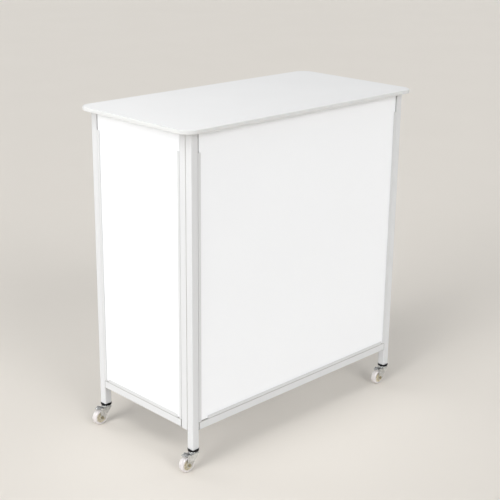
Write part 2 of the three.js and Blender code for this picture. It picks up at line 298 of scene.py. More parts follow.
front_rail_low, front_rail_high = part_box("front_bottom_rail")
side_rail_low, side_rail_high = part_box("left_bottom_rail")
corner_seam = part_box("front_left_leg")[1].y
# Both coats carry painted shade in their seams: the posts at the leg and stile joint, the rails at their
# ends and along the bottom rail's top.
post_coat = powder_coat("post_powder_coat", [("Y", corner_seam)], post_seam_shade)
rail_coat = powder_coat("rail_powder_coat", [
    ("Z", front_rail_high.z), ("X", front_rail_low.x + rail_joint), ("X", front_rail_high.x - rail_joint),
    ("Y", side_rail_low.y + rail_joint), ("Y", side_rail_high.y - rail_joint),
], rail_seam_shade)
posts = [f"{end}_{side}_leg" for end in ends for side in sides] + [f"{side}_stile" for side in sides]
rails = [f"{wall}_{level}_rail" for wall in walls for level in rail_levels]
for node in posts:
    add_piece(f"{node}_tube", square_tube(node), post_coat, body_of(node), "coated_steel", node)
for node in rails:
    add_piece(f"{node}_tube", square_tube(node, rail_joint), rail_coat, body_of(node), "coated_steel", node)


# Fillet welds under the rails, where a rail meets a post that runs on below it.
# Each is a short rippled bead laid across the tube and powder coated with the frame.
weld_radius = 1.7 * mm
weld_ripple = 0.82
weld_pitch = 2.2 * mm
weld_sides = 8


def weld_bead(start, end):
    """A bead with a ripple at each pitch, from one point to another."""
    span = end - start
    ripples = round(span.length / weld_pitch)
    half_pitch = span.length / ripples / 2
    neck = weld_radius * weld_ripple
    shape = bmesh.new()
    ring = bmesh.ops.create_circle(shape, cap_ends=True, segments=weld_sides, radius=neck)["verts"]
    cap = ring[0].link_faces[:]
    for step in range(2 * ripples):
        last_cap = cap
        cap = pull(shape, last_cap, (0, 0, half_pitch))
        growth = 1 / weld_ripple if step % 2 == 0 else weld_ripple
        bmesh.ops.scale(shape, vec=(growth, growth, 1), verts=cap[0].verts[:])
        if step > 0:
            bmesh.ops.delete(shape, geom=last_cap, context="FACES_ONLY")
    turn = span.to_track_quat("Z", "Y").to_matrix().to_4x4()
    place(shape, Matrix.Translation(start) @ turn)
    return shape


def weld_under(rail, post):
    """Lays a bead along the lower corner between a rail's end and a post."""
    rail_low, rail_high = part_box(rail)
    post_low, post_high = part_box(post)
    run = 0 if rail.startswith("front") else 1
    across = 1 - run
    start = Vector((0, 0, rail_low.z))
    rail_follows_post = rail_low[run] > post_low[run]
    start[run] = post_high[run] if rail_follows_post else post_low[run]
    end = start.copy()
    start[across] = rail_low[across] + tube_corner
    end[across] = rail_high[across] - tube_corner
    add_piece(f"{rail}_{post}_weld", weld_bead(start, end), rail_coat, body_of(rail), "coated_steel")


for side in sides:
    for level in rail_levels:
        weld_under(f"front_{level}_rail", f"front_{side}_leg")
        weld_under(f"{side}_{level}_rail", f"rear_{side}_leg")
    weld_under(f"{side}_top_rail", f"{side}_stile")


# Channels: U-shaped strips of extruded white plastic, glued to the tubes round three sides of each wall.
# Their lips hold the panel's edges; the extrusion leaves faint streaks along each strip.
channel_wall = 1.5 * mm
channel_edge = 0.35 * mm
channel_bright = (0.68, 0.685, 0.695, 1)
channel_dull = (0.60, 0.605, 0.615, 1)


def extruded_plastic():
    material, place_on = start_look("extruded_white_plastic")
    streaks = place_on.noise(420, 2, (1, 1, 0.02))
    cloud = place_on.noise(9, 3)
    return set_look(material, {
        "Base Color": (0.6 * cloud + 0.2 * streaks).tint(channel_bright, channel_dull),
        "Roughness": 0.36 + 0.16 * streaks,
        "Normal": streaks.bump(0.03 * mm, 0.3),
    })


def channel_strip(node, lips, run):
    """A strip that runs along one axis and opens along another."""
    low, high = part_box(node)
    size = high - low
    reach = abs(size.dot(lips))
    length = abs(size.dot(run))
    depth_axis = run.cross(lips)
    half_depth = abs(size.dot(depth_axis)) / 2
    slot = half_depth - channel_wall
    web = channel_wall - reach / 2
    shape = bmesh.new()
    outline = (
        (-reach / 2, -half_depth), (reach / 2, -half_depth), (reach / 2, -slot), (web, -slot),
        (web, slot), (reach / 2, slot), (reach / 2, half_depth), (-reach / 2, half_depth),
    )
    section = shape.faces.new([shape.verts.new((x, y, -length / 2)) for x, y in outline])
    pull(shape, [section], (0, 0, length))
    soften(shape, shape.edges[:], channel_edge)
    turn = Matrix((lips, depth_axis, run)).transposed().to_4x4()
    place(shape, Matrix.Translation((low + high) / 2) @ turn)
    return shape


strip_plastic = extruded_plastic()
along_x, along_y, along_z = Vector((1, 0, 0)), Vector((0, 1, 0)), Vector((0, 0, 1))
strips = [("front_left_channel", along_x, along_z), ("front_right_channel", -along_x, along_z)]
strips += [("front_bottom_channel", along_z, along_x)]
for side in sides:
    strips += [(f"{side}_front_channel", along_y, along_z), (f"{side}_rear_channel", -along_y, along_z)]
    strips += [(f"{side}_bottom_channel", along_z, along_y)]
for node, lips, run in strips:
    shape = channel_strip(node, lips, run)
    add_piece(f"{node}_strip", shape, strip_plastic, body_of(node), "white_plastic", node)


# Panels: plain white sheets of 5 mm foamed plastic, slid down into the channels from above.
# The sheets are bare, with a satin skin, and their sawn edges are broken with a scraper.
panel_arris = 0.6 * mm
panel_bright = (0.91, 0.925, 0.95, 1)
panel_dull = (0.89, 0.905, 0.93, 1)


def panel_skin():
    material, place_on = start_look("white_panel_sheet")
    grain = place_on.noise(240, 3)
    wave = place_on.noise(3.5, 2)
    return set_look(material, {
        "Base Color": wave.tint(panel_bright, panel_dull),
        "Roughness": 0.40 + 0.14 * grain,
        "Normal": (0.5 * grain + wave).bump(0.04 * mm, 0.25),
    })


def block(size):
    """A block of a given size about the origin."""
    shape = bmesh.new()
    bmesh.ops.create_cube(shape, size=1)
    bmesh.ops.scale(shape, vec=size, verts=shape.verts)
    return shape


sheet_skin = panel_skin()
for wall in walls:
    node = f"{wall}_panel"
    low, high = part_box(node)
    shape = block(high - low)
    soften(shape, shape.edges[:], panel_arris)
    place(shape, Matrix.Translation((low + high) / 2))
    add_piece(f"{node}_sheet", shape, sheet_skin, body_of(node), "panel_sheet", node)


# Tube caps: moulded white plastic plugs pressed into the open tube ends, with a flange over the cut.
# The front legs' caps have a bored hole for the board's pegs; the stiles have a cap at each end.
cap_edge = 0.6 * mm
cap_plug_depth = 18 * mm
cap_flange = 3 * mm
stile_cap_flange = 1 * mm
cap_fit = 0.3 * mm
cap_bright = (0.80, 0.80, 0.79, 1)
cap_dull = (0.70, 0.70, 0.68, 1)
peg_low, peg_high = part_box("left_peg")
peg_radius = (peg_high.x - peg_low.x) / 2
loop_points = 4 * (tube_corner_steps + 1)
same_level = 0.01 * mm


def moulded_plastic():
    material, place_on = start_look("moulded_white_plastic")
    spark = place_on.noise(900, 2)
    cloud = place_on.noise(30, 2)
    return set_look(material, {
        "Base Color": cloud.tint(cap_bright, cap_dull),
        "Roughness": 0.42 + 0.12 * spark,
        "Normal": spark.bump(0.05 * mm, 0.35),
    })


def square_loop(shape, width, radius, level):
    """The rim of a rounded square."""
    face = rounded_face(shape, width, width, radius, tube_corner_steps, level)
    rim = face.edges[:]
    bmesh.ops.delete(shape, geom=[face], context="FACES_ONLY")
    return rim


def round_loop(shape, radius, level, points=loop_points):
    """The rim of a circle about the Z axis."""
    made = bmesh.ops.create_circle(shape, cap_ends=False, segments=points, radius=radius)["verts"]
    bmesh.ops.translate(shape, vec=(0, 0, level), verts=made)
    return list({edge for vert in made for edge in vert.link_edges})


def loft(shape, loops):
    """Joins each rim to the next with a band of faces."""
    for first, second in zip(loops, loops[1:]):
        bmesh.ops.bridge_loops(shape, edges=first + second)


def close_rims(shape, *rims):
    """Fills each rim with one flat face."""
    for rim in rims:
        bmesh.ops.contextual_create(shape, geom=rim)


def tube_cap(flange_bottom, flange, direction, bored):
    """A cap whose flange lies on flange_bottom and whose plug reaches the other way."""
    low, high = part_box("front_left_leg")
    width = high.x - low.x
    plug = width - 2 * tube_wall - 2 * cap_fit
    plug_corner = tube_corner - tube_wall + cap_fit
    rim_level = direction * flange
    foot_level = -direction * cap_plug_depth
    shape = bmesh.new()
    top = square_loop(shape, width, tube_corner, rim_level)
    shoulder = square_loop(shape, width, tube_corner, 0)
    neck = square_loop(shape, plug, plug_corner, 0)
    foot = square_loop(shape, plug, plug_corner, foot_level)
    loops = [top, shoulder, neck, foot]
    if bored:
        hole = peg_radius + cap_fit
        loops += [round_loop(shape, hole, foot_level), round_loop(shape, hole, rim_level), top]
    loft(shape, loops)
    if not bored:
        close_rims(shape, top, foot)
    clear_of_hole = peg_radius + tube_wall
    on_rim = {
        vert for vert in shape.verts
        if abs(vert.co.z - rim_level) < same_level and vert.co.xy.length > clear_of_hole
    }
    rim = [edge for edge in shape.edges if on_rim.issuperset(edge.verts)]
    soften(shape, rim, cap_edge, steps=3)
    place(shape, Matrix.Translation((0, 0, flange_bottom)))
    return shape


cap_plastic = moulded_plastic()
for side in sides:
    for end in ends:
        node = f"{end}_{side}_cap"
        low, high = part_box(node)
        middle = (low + high) / 2
        shape = tube_cap(high.z - cap_flange, cap_flange, direction=1, bored=end == "front")
        place(shape, Matrix.Translation((middle.x, middle.y, 0)))
        add_piece(f"{node}_plug", shape, cap_plastic, body_of(node), "white_plastic", node)
    stile = f"{side}_stile"
    low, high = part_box(stile)
    middle = (low + high) / 2
    for name, level, direction in (("top", high.z, 1), ("bottom", low.z, -1)):
        shape = tube_cap(level, stile_cap_flange, direction, bored=False)
        place(shape, Matrix.Translation((middle.x, middle.y, 0)))
        add_piece(f"{stile}_{name}_plug", shape, cap_plastic, body_of(stile), "white_plastic")


# Hinges: two zinc-plated butt hinges in each front corner, between the leg and the stile of the side frame.
# The leaves are pressed from 2 mm sheet and rolled round a pin, and three button screws hold each leaf.
leaf_thickness = 2 * mm
leaf_corner = 2.5 * mm
leaf_arris = 0.25 * mm
knuckle_radius = 4 * mm
knuckle_chamfer = 0.4 * mm
knuckle_gap = 0.3 * mm
pin_radius = 2 * mm
pin_dome = 0.6 * mm
dome_shoulder = 0.7
screw_radius = 2.9 * mm
screw_height = 1.3 * mm
screw_shoulder_radius = 0.86 * screw_radius
screw_shoulder_height = 0.62 * screw_height
screw_flat_radius = 0.55 * screw_radius
screw_socket_radius = 1.25 * mm
screw_socket_depth = 0.6 * screw_height
screw_points = 24
screw_socket_points = 6
screw_pitch = 24 * mm
screws_on_leaf = 3
turned_steps = 48
sharp_angle = radians(60)
zinc_bright = (0.76, 0.765, 0.765, 1)
zinc_dull = (0.47, 0.465, 0.445, 1)


def zinc_plate():
    material, place_on = start_look("zinc_plated_steel")
    cloud = place_on.noise(140, 4)
    drawn = place_on.noise(1400, 2, (1, 1, 0.08))
    return set_look(material, {
        "Base Color": cloud.rise(0.35, 0.72).tint(zinc_bright, zinc_dull),
        "Metallic": 0.88 + 0.12 * cloud,
        "Roughness": 0.16 + 0.16 * cloud + 0.06 * drawn,
        "Normal": (0.5 * cloud + 0.5 * drawn).bump(0.03 * mm, 0.4),
    })


def turned(shape, outline, closed=False, steps=turned_steps):
    """Spins an outline of (radius, height) points about the Z axis."""
    points = [shape.verts.new((radius, 0, height)) for radius, height in outline]
    following = points[1:] + points[:1] if closed else points[1:]
    edges = [shape.edges.new(pair) for pair in zip(points, following)]
    bmesh.ops.spin(
        shape, geom=points + edges, cent=(0, 0, 0), axis=(0, 0, 1), angle=2 * pi, steps=steps, use_merge=True
    )
    bmesh.ops.remove_doubles(shape, verts=shape.verts, dist=same_point)


def both_ends(upper):
    """Adds the lower half to the upper half of an outline whose ends are alike."""
    lower = [(radius, -height) for radius, height in reversed(upper)]
    return [*lower, *upper]


def dome(radius, height, level):
    """The outline of a low round head that stands on a level, from its edge to its middle."""
    return [
        (radius, level), (dome_shoulder * radius, level + dome_shoulder * height), (0, level + height)
    ]


def rolled_barrel(radius, half_length, chamfer, steps=turned_steps):
    """A barrel along the Z axis with a chamfer at both ends."""
    shape = bmesh.new()
    upper = [(radius, half_length - chamfer), (radius - chamfer, half_length), (0, half_length)]
    turned(shape, both_ends(upper), steps=steps)
    return shape


def merge_in(shape, other, matrix):
    """Adds another bmesh to a shape, moved by a matrix."""
    scratch = bpy.data.meshes.new("scratch")
    place(other, matrix)
    face_outwards(other)
    other.to_mesh(scratch)
    other.free()
    shape.from_mesh(scratch)
    bpy.data.meshes.remove(scratch)


def sharp_edges(shape):
    """The edges where two faces meet at a sharp angle."""
    return [edge for edge in shape.edges if edge.calc_face_angle() > sharp_angle]


def button_screw():
    """A button head with a hexagon socket, standing on z = 0."""
    shape = bmesh.new()
    loops = [
        round_loop(shape, screw_radius, 0, screw_points),
        round_loop(shape, screw_shoulder_radius, screw_shoulder_height, screw_points),
        round_loop(shape, screw_flat_radius, screw_height, screw_points),
        round_loop(shape, screw_socket_radius, screw_height, screw_socket_points),
        round_loop(shape, screw_socket_radius, screw_height - screw_socket_depth, screw_socket_points),
    ]
    loft(shape, loops)
    close_rims(shape, loops[0], loops[-1])
    return shape


def hinge_leaf(node, axis, toward_tube, reach_sign, knuckles):
    """A leaf beside the hinge axis: its plate, its rolled knuckles and its three screws."""
    low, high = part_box(node)
    reach = max(abs(low.y - axis.y), abs(high.y - axis.y))
    near = knuckle_radius + knuckle_gap
    middle_z = (low.z + high.z) / 2
    half = (high.z - low.z) / 2
    shape = bmesh.new()
    corners = ((near, -half), (reach, -half), (reach, half), (near, half))
    points = [shape.verts.new((0, reach_sign * y, z)) for y, z in corners]
    shape.faces.new(points)
    round_corners(shape, points[1:3], leaf_corner, steps=4)
    pull(shape, shape.faces[:], (leaf_thickness, 0, 0))
    soften(shape, sharp_edges(shape), leaf_arris)
    tab_reach = near + leaf_thickness / 2
    for bottom, top in knuckles:
        tab = block((leaf_thickness, tab_reach, top - bottom))
        tab_middle = (leaf_thickness / 2, reach_sign * tab_reach / 2, (bottom + top) / 2)
        merge_in(shape, tab, Matrix.Translation(tab_middle))
    place(shape, Matrix.Translation((-knuckle_radius, 0, 0)))
    for bottom, top in knuckles:
        knuckle = rolled_barrel(knuckle_radius, (top - bottom) / 2, knuckle_chamfer)
        merge_in(shape, knuckle, Matrix.Translation((0, 0, (bottom + top) / 2)))
    screw_y = reach_sign * (near + reach) / 2
    for index in range(screws_on_leaf):
        level = (index - (screws_on_leaf - 1) / 2) * screw_pitch
        seat = Matrix.Translation((leaf_thickness - knuckle_radius, screw_y, level))
        merge_in(shape, button_screw(), seat @ Matrix.Rotation(pi / 2, 4, "Y"))
    flip = Matrix.Scale(-toward_tube, 4, (1, 0, 0))
    place(shape, Matrix.Translation((axis.x, axis.y, middle_z)) @ flip)
    return shape


zinc = zinc_plate()
joints = {joint["name"]: joint for joint in frame["joints"]}
for side, outward in (("left", -1), ("right", 1)):
    axis = Vector(joints[f"{side}_side_fold"]["pos_m"])
    for level in ("lower", "upper"):
        hinge = f"{side}_{level}_hinge"
        node = f"{hinge}_leg_leaf"
        low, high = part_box(node)
        half = (high.z - low.z) / 2
        third = half / 3
        outer_knuckles = ((-half, -third - knuckle_gap), (third + knuckle_gap, half))
        shape = hinge_leaf(node, axis, outward, reach_sign=-1, knuckles=outer_knuckles)
        pin = bmesh.new()
        turned(pin, both_ends(dome(pin_radius, pin_dome, half)))
        merge_in(shape, pin, Matrix.Translation((axis.x, axis.y, (low.z + high.z) / 2)))
        add_piece(f"{hinge}_fixed_leaf", shape, zinc, body_of(node), "zinc_steel", node)
        node = f"{hinge}_stile_leaf"
        shape = hinge_leaf(node, axis, outward, reach_sign=1, knuckles=((-third, third),))
        add_piece(f"{hinge}_moving_leaf", shape, zinc, body_of(node), "zinc_steel", node)


# Caster sockets: black moulded plugs driven into the leg ends, with a round flange that shows below the leg.
# The bore down the middle takes the caster's stem, and the flange's lower edge is rounded.
stem_radius = 5 * mm
socket_fit = 0.3 * mm
flange_round = ((0.80, 0.0), (0.93, 0.9 * mm), (0.985, 2.2 * mm), (1.0, 3.6 * mm))
socket_black = (0.004, 0.004, 0.005, 1)
socket_dusty = (0.026, 0.025, 0.023, 1)


def black_moulding():
    material, place_on = start_look("black_moulded_plastic")
    spark = place_on.noise(1100, 2)
    dust_and_seam_shade = place_on.noise(90, 4).rise(0.50, 0.80)
    return set_look(material, {
        "Base Color": (0.5 * dust_and_seam_shade).tint(socket_black, socket_dusty),
        "Roughness": 0.44 + 0.14 * spark + 0.15 * dust_and_seam_shade,
        "Normal": spark.bump(0.05 * mm, 0.4),
        "Specular IOR Level": 0.2,
    })


def swivel_point(caster):
    """The floor point under a caster's swivel axis."""
    low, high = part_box(f"{caster}_caster_socket")
    return Vector(((low.x + high.x) / 2, (low.y + high.y) / 2, 0))


black_plastic = black_moulding()
casters = [f"{end}_{side}" for end in ends for side in sides]
for caster in casters:
    node = f"{caster}_caster_socket"
    low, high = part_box(node)
    leg_low, leg_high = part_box(f"{caster}_leg")
    flange_top = leg_low.z - socket_fit
    flange_radius = (high.x - low.x) / 2
    rounded_edge = [(share * flange_radius, low.z + height) for share, height in flange_round]
    bore = stem_radius + socket_fit
    shape = bmesh.new()
    turned(shape, (
        (bore, low.z), *rounded_edge, (flange_radius, flange_top), (bore, flange_top),
    ), closed=True)
    plug = bmesh.new()
    plug_width = leg_high.x - leg_low.x - 2 * tube_wall - 2 * socket_fit
    plug_corner = tube_corner - tube_wall + socket_fit
    loops = [
        square_loop(plug, plug_width, plug_corner, flange_top),
        square_loop(plug, plug_width, plug_corner, high.z),
        round_loop(plug, bore, high.z),
        round_loop(plug, bore, flange_top),
    ]
    loft(plug, loops + loops[:1])
    merge_in(shape, plug, Matrix.Identity(4))
    place(shape, Matrix.Translation(swivel_point(caster)))
    add_piece(f"{caster}_caster_plug", shape, black_plastic, body_of(node), "black_plastic", node)


# Caster forks: 2 mm steel sheet pressed into an arch with two legs, bright zinc plated.
# A turned race and a plain stem are riveted through its crown, and the stem turns in the socket.
# The race's cups and groove are given as shares of its radius and heights above the crown.
fork_sheet = 2 * mm
fork_half_gap = 10.5 * mm
fork_bend = 2.4 * mm
crown_top = 54.2 * mm
crown_front = 13 * mm
crown_back = -20.5 * mm
ear_back = -29.5 * mm
ear_top = 57.8 * mm
ear_lean = 1 * mm
ear_corner = 3 * mm
boss_radius = 8 * mm
boss_corner = 0.85 * boss_radius
sheared_edge = 0.4 * mm
sheared_edge_angle = radians(50)
sliver = 0.01 * mm
race_radius = 14.5 * mm
race_top = 59.7 * mm
race_neck = 0.72 * race_radius
lower_cup = ((0.84, 0.0), (1.0, 0.7 * mm), (1.0, 2.6 * mm), (0.93, 3.0 * mm))
race_groove = ((0.86, 3.1 * mm), (0.86, 3.6 * mm))
upper_cup = ((0.93, 3.8 * mm), (0.90, 4.8 * mm))
stem_chamfer = 1 * mm
stem_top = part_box("front_left_caster_fork")[1].z
wheel_low, wheel_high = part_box("front_left_caster_wheel")
wheel_radius = (wheel_high.z - wheel_low.z) / 2
trail = swivel_point("front_left").x - (wheel_low.x + wheel_high.x) / 2


def fork_side(shape, y):
    """One leg of the fork as a flat face: from the crown to the pedal's ear and down to the axle."""
    level = crown_top - fork_sheet / 2
    boss_bottom = wheel_radius - boss_radius
    outline = (
        (crown_front, level), (crown_back, level), (crown_back - ear_lean, ear_top), (ear_back, ear_top),
        (-trail - boss_radius, boss_bottom), (boss_radius - trail, boss_bottom),
    )
    points = [shape.verts.new((x, y, z)) for x, z in outline]
    shape.faces.new(points)
    return points


for caster in casters:
    node = f"{caster}_caster_fork"
    swivel = Matrix.Translation(swivel_point(caster))
    shape = bmesh.new()
    half_width = fork_half_gap + fork_sheet / 2
    near_side = fork_side(shape, -half_width)
    far_side = fork_side(shape, half_width)
    shape.faces.new((near_side[0], near_side[1], far_side[1], far_side[0]))
    bends = [shape.edges.get(leg[:2]) for leg in (near_side, far_side)]
    boss_corners = [point for leg in (near_side, far_side) for point in leg[4:]]
    ear_corners = [point for leg in (near_side, far_side) for point in leg[2:4]]
    round_corners(shape, boss_corners, boss_corner, steps=6)
    round_corners(shape, ear_corners, ear_corner, steps=4)
    soften(shape, bends, fork_bend, steps=4)
    place(shape, swivel)
    fork = add_piece(f"{caster}_caster_arch", shape, zinc, body_of(node), "zinc_steel", node)
    sheet = fork.modifiers.new("sheet", "SOLIDIFY")
    sheet.thickness = fork_sheet
    sheet.offset = 0
    edge = fork.modifiers.new("edge", "BEVEL")
    edge.width = sheared_edge
    edge.segments = 2
    edge.limit_method = "ANGLE"
    edge.angle_limit = sheared_edge_angle
    weld = fork.modifiers.new("weld", "WELD")
    weld.merge_threshold = sliver

    shape = bmesh.new()
    cups = (*lower_cup, *race_groove, *upper_cup)
    turned(shape, (
        (0, crown_top - fork_sheet), *((share * race_radius, crown_top + height) for share, height in cups),
        (race_neck, race_top), (stem_radius, race_top), (stem_radius, stem_top - stem_chamfer),
        (stem_radius - stem_chamfer, stem_top), (0, stem_top),
    ))
    place(shape, swivel)
    add_piece(f"{caster}_caster_race", shape, zinc, body_of(node), "zinc_steel")


# Axles: an M6 steel bolt through the fork legs and the wheel, with a lock nut.
# Bolt and nut are zinc plated with a yellow passivation, which wears darker than the fork.
bolt_radius = 3 * mm
bolt_stub = 0.4 * mm
bolt_point = 0.9 * mm
bolt_point_radius = 0.8 * bolt_radius
bolt_head_radius = 5.5 * mm
bolt_head_height = 3 * mm
bolt_head_chamfer = 0.6 * mm
bolt_head_gap = 0.3 * mm
yellow_bright = (0.44, 0.40, 0.28, 1)
yellow_dark = (0.24, 0.21, 0.13, 1)


def yellow_zinc():
    material, place_on = start_look("yellow_passivated_zinc")
    cloud = place_on.noise(260, 4)
    return set_look(material, {
        "Base Color": cloud.rise(0.3, 0.7).tint(yellow_bright, yellow_dark),
        "Metallic": 0.85 + 0.15 * cloud,
        "Roughness": 0.30 + 0.20 * cloud,
        "Normal": cloud.bump(0.04 * mm, 0.4),
    })


def hexagon_head(direction):
    """A hexagon whose inner face lies on z = 0 and which stands towards +Z or -Z."""
    shape = bmesh.new()
    base = bmesh.ops.create_circle(shape, cap_ends=True, segments=6, radius=bolt_head_radius)["verts"]
    far_face = pull(shape, base[0].link_faces[:], (0, 0, direction * bolt_head_height))[0]
    soften(shape, far_face.edges[:], bolt_head_chamfer)
    return shape


def onto_axle(caster):
    """The move that lays a shape made about the Z axis on a caster's axle."""
    middle = swivel_point(caster) + Vector((-trail, 0, wheel_radius))
    return Matrix.Translation(middle) @ Matrix.Rotation(pi / 2, 4, "X")


bolt_zinc = yellow_zinc()
for caster in casters:
    node = f"{caster}_caster_axle"
    head_face = fork_half_gap + fork_sheet + bolt_head_gap
    in_head = head_face + bolt_head_height / 2
    nut_end = head_face + bolt_head_height
    shape = bmesh.new()
    turned(shape, (
        (0, -in_head), (bolt_radius, -in_head), (bolt_radius, nut_end + bolt_stub),
        (bolt_point_radius, nut_end + bolt_point), (0, nut_end + bolt_point),
    ))
    merge_in(shape, hexagon_head(1), Matrix.Translation((0, 0, head_face)))
    merge_in(shape, hexagon_head(-1), Matrix.Translation((0, 0, -head_face)))
    place(shape, onto_axle(caster))
    add_piece(f"{caster}_caster_bolt", shape, bolt_zinc, body_of(node), "zinc_steel", node)


# Wheels: a clear cast polyurethane tread bonded round a pale moulded core with ribs on both faces.
# The tread is glossy and lets the core show through it.
wheel_steps = 72
tread_half_width = 9 * mm
tread_inner = 18.5 * mm
tread_shoulder = 3 * mm
tread_shoulder_steps = 6
tread_clear = (0.96, 0.93, 0.94, 1)
tread_hazy = (0.91, 0.87, 0.86, 1)
core_fit = 0.05 * mm
core_hub = 8 * mm
core_hub_chamfer = 0.5 * mm
core_half_hub = 10 * mm
core_half_web = 3.5 * mm
core_half_rim = 7.6 * mm
core_rim_depth = 2.2 * mm
core_bore = 3.3 * mm
core_ribs = 6
rib_thickness = 1.8 * mm
rib_bite = 0.2 * mm
rib_step = 0.5 * mm
rib_edge = 0.3 * mm
core_pale = (0.78, 0.72, 0.58, 1)
core_deep = (0.60, 0.55, 0.43, 1)


def clear_tread():
    material, place_on = start_look("clear_polyurethane")
    haze = place_on.noise(160, 3)
    return set_look(material, {
        "Base Color": haze.tint(tread_clear, tread_hazy),
        "Roughness": 0.10 + 0.10 * haze,
        "Normal": haze.bump(0.04 * mm, 0.25),
        "Transmission Weight": 0.35,
        "IOR": 1.49,
    })


def core_plastic():
    material, place_on = start_look("pale_core_plastic")
    cloud = place_on.noise(180, 3)
    return set_look(material, {
        "Base Color": cloud.tint(core_pale, core_deep),
        "Roughness": 0.34 + 0.14 * cloud,
        "Normal": cloud.bump(0.05 * mm, 0.3),
    })


tread_look = clear_tread()
core_look = core_plastic()
for caster in casters:
    node = f"{caster}_caster_wheel"
    shape = bmesh.new()
    shoulder_radius = wheel_radius - tread_shoulder
    shoulder_level = tread_half_width - tread_shoulder
    upper = []
    for step in range(tread_shoulder_steps + 1):
        turn = pi / 2 * step / tread_shoulder_steps
        radius = shoulder_radius + tread_shoulder * cos(turn)
        upper.append((radius, shoulder_level + tread_shoulder * sin(turn)))
    upper.append((tread_inner, tread_half_width))
    turned(shape, both_ends(upper), closed=True, steps=wheel_steps)
    place(shape, onto_axle(caster))
    add_piece(f"{caster}_caster_tread", shape, tread_look, body_of(node), "clear_tread", node)

    shape = bmesh.new()
    core_outer = tread_inner - core_fit
    rim_inner = core_outer - core_rim_depth
    upper = [
        (core_outer, core_half_rim), (rim_inner, core_half_rim), (rim_inner, core_half_web),
        (core_hub, core_half_web), (core_hub, core_half_hub - core_hub_chamfer),
        (core_hub - core_hub_chamfer, core_half_hub), (core_bore, core_half_hub),
    ]
    turned(shape, both_ends(upper), closed=True, steps=wheel_steps)
    rib_size = (rim_inner - core_hub + 2 * rib_bite, rib_thickness, 2 * (core_half_rim - rib_step))
    for index in range(core_ribs):
        rib = block(rib_size)
        soften(rib, rib.edges[:], rib_edge)
        spoke = Matrix.Rotation(2 * pi * index / core_ribs, 4, "Z")
        merge_in(shape, rib, spoke @ Matrix.Translation(((core_hub + rim_inner) / 2, 0, 0)))
    place(shape, onto_axle(caster))
    add_piece(f"{caster}_caster_core", shape, core_look, body_of(node), "clear_tread")


# Brake pedals: short levers of zinc-plated sheet, rolled round a rivet between the fork's ears.
# Three beads are pressed across the pad for grip; pressed down, the pad's underside bears on the tread.
pedal_pivot = Vector(joints["front_left_brake_press"]["pos_m"]) - swivel_point("front_left")
pedal_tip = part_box("front_left_caster_pedal")[0].x - swivel_point("front_left").x
pedal_pad_front = -33 * mm
pedal_half_pad = 9 * mm
pedal_half_neck = 10.2 * mm
pedal_thickness = 2 * mm
pedal_corner = 3 * mm
pedal_arris = 0.5 * mm
pedal_barrel = 2.5 * mm
pedal_barrel_edge = 0.3 * mm
pedal_turned_steps = 24
pedal_beads = 3
bead_height = 0.6 * mm
bead_half_length = 0.75 * pedal_half_pad
bead_width_share = 0.6
bead_steps = 16
rivet_radius = 1.5 * mm
rivet_head = 2.4 * mm
rivet_dome = 0.9 * mm
for caster in casters:
    node = f"{caster}_caster_pedal"
    top = pedal_pivot.z + pedal_barrel
    shape = bmesh.new()
    half_outline = (
        (pedal_pivot.x, pedal_half_neck), (pedal_pad_front, pedal_half_neck),
        (pedal_pad_front, pedal_half_pad), (pedal_tip, pedal_half_pad),
    )
    outline = [*half_outline, *((x, -y) for x, y in reversed(half_outline))]
    points = [shape.verts.new((x, y, top - pedal_thickness)) for x, y in outline]
    shape.faces.new(points)
    round_corners(shape, points[3:5], pedal_corner, steps=5)
    pad = pull(shape, shape.faces[:], (0, 0, pedal_thickness))
    soften(shape, pad[0].edges[:], pedal_arris, steps=3)
    barrel = rolled_barrel(pedal_barrel, pedal_half_neck, pedal_barrel_edge, pedal_turned_steps)
    across = Matrix.Rotation(pi / 2, 4, "X")
    merge_in(shape, barrel, Matrix.Translation(pedal_pivot) @ across)
    bead_pitch = (pedal_pad_front - pedal_tip) / pedal_beads
    bead_size = (bead_width_share * bead_pitch / 2, bead_half_length, bead_height)
    for index in range(pedal_beads):
        bead = bmesh.new()
        bmesh.ops.create_uvsphere(bead, u_segments=bead_steps, v_segments=bead_steps // 2, radius=1)
        bmesh.ops.scale(bead, vec=bead_size, verts=bead.verts)
        bead_x = pedal_tip + (index + 0.5) * bead_pitch
        merge_in(shape, bead, Matrix.Translation((bead_x, 0, top)))
    place(shape, Matrix.Translation(swivel_point(caster)))
    add_piece(f"{caster}_caster_lever", shape, zinc, body_of(node), "zinc_steel", node)

    shape = bmesh.new()
    ear_face = fork_half_gap + fork_sheet
    upper = [(rivet_radius, ear_face), *dome(rivet_head, rivet_dome, ear_face)]
    turned(shape, both_ends(upper), steps=pedal_turned_steps)
    place(shape, Matrix.Translation(swivel_point(caster) + pedal_pivot) @ across)
    add_piece(f"{caster}_caster_rivet", shape, zinc, body_of(node), "zinc_steel")


# Counter board: 12 mm fibre board with a white laminate on both faces, its corners sawn to a wide radius.
# A thick plastic band is glued round the sawn edge and trimmed to a soft round.
board_corner = 46 * mm
board_corner_steps = 16
band_thickness = 2 * mm
band_round = 1.8 * mm
laminate_arris = 0.15 * mm
laminate_bright = (0.80, 0.798, 0.795, 1)
laminate_dull = (0.75, 0.748, 0.745, 1)
band_bright = (0.69, 0.70, 0.70, 1)
band_dull = (0.62, 0.625, 0.615, 1)


def white_laminate():
    material, place_on = start_look("white_laminate")
    pebble = place_on.noise(520, 3)
    cloud = place_on.noise(4, 3)
    return set_look(material, {
        "Base Color": (0.7 * cloud + 0.15 * pebble).tint(laminate_bright, laminate_dull),
        "Roughness": 0.46 + 0.12 * cloud + 0.06 * pebble,
        "Normal": pebble.bump(0.04 * mm, 0.3),
        "Specular IOR Level": 0.25,
    })


